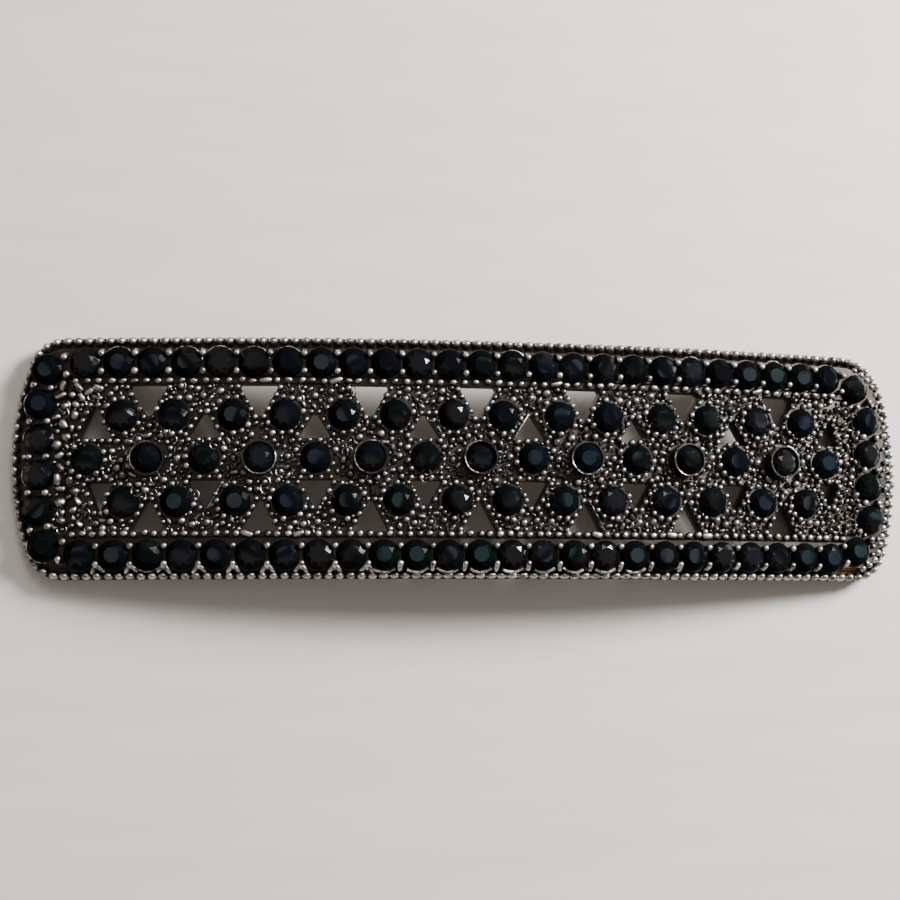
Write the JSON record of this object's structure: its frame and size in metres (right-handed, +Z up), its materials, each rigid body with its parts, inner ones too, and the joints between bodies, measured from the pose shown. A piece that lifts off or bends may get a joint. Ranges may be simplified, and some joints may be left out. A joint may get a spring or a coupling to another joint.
{
  "type": "flower brooch",
  "caption": "Arched bar brooch: a cast, pierced bar with rounded corners, a row of flowers and a border set with round cut black stones, and a plain pin on its back.",
  "frame": {"origin": "middle of the surface that the brooch lies on, under the middle of the bar", "axes": "+X along the bar to the picture's right, +Y across it to the picture's top, +Z up from the back to the stones"},
  "size_m": [0.0718, 0.0186, 0.0064],
  "materials": {
    "antique_silver": "cast, silver plated, blackened in the recesses and worn bright on the high spots",
    "pin_steel": "drawn and stamped, plated",
    "black_glass": "cut and polished, foil backed, opaque"
  },
  "bodies": {
    "root": {"frame": "antique_silver", "pin_back": "pin_steel", "border_stones": "black_glass", "centre_stone_1": "black_glass", "centre_stone_2": "black_glass", "centre_stone_3": "black_glass", "centre_stone_4": "black_glass", "centre_stone_5": "black_glass", "centre_stone_6": "black_glass", "centre_stone_7": "black_glass", "side_petal_1": "black_glass", "side_petal_2": "black_glass", "side_petal_3": "black_glass", "side_petal_4": "black_glass", "side_petal_5": "black_glass", "side_petal_6": "black_glass", "side_petal_7": "black_glass", "side_petal_8": "black_glass", "upper_petal_1": "black_glass", "upper_petal_2": "black_glass", "upper_petal_3": "black_glass", "upper_petal_4": "black_glass", "upper_petal_5": "black_glass", "upper_petal_6": "black_glass", "upper_petal_7": "black_glass", "upper_petal_8": "black_glass", "upper_petal_9": "black_glass", "upper_petal_10": "black_glass", "upper_petal_11": "black_glass", "upper_petal_12": "black_glass", "upper_petal_13": "black_glass", "upper_petal_14": "black_glass", "lower_petal_1": "black_glass", "lower_petal_2": "black_glass", "lower_petal_3": "black_glass", "lower_petal_4": "black_glass", "lower_petal_5": "black_glass", "lower_petal_6": "black_glass", "lower_petal_7": "black_glass", "lower_petal_8": "black_glass", "lower_petal_9": "black_glass", "lower_petal_10": "black_glass", "lower_petal_11": "black_glass", "lower_petal_12": "black_glass", "lower_petal_13": "black_glass", "lower_petal_14": "black_glass"}
  },
  "joints": []
}
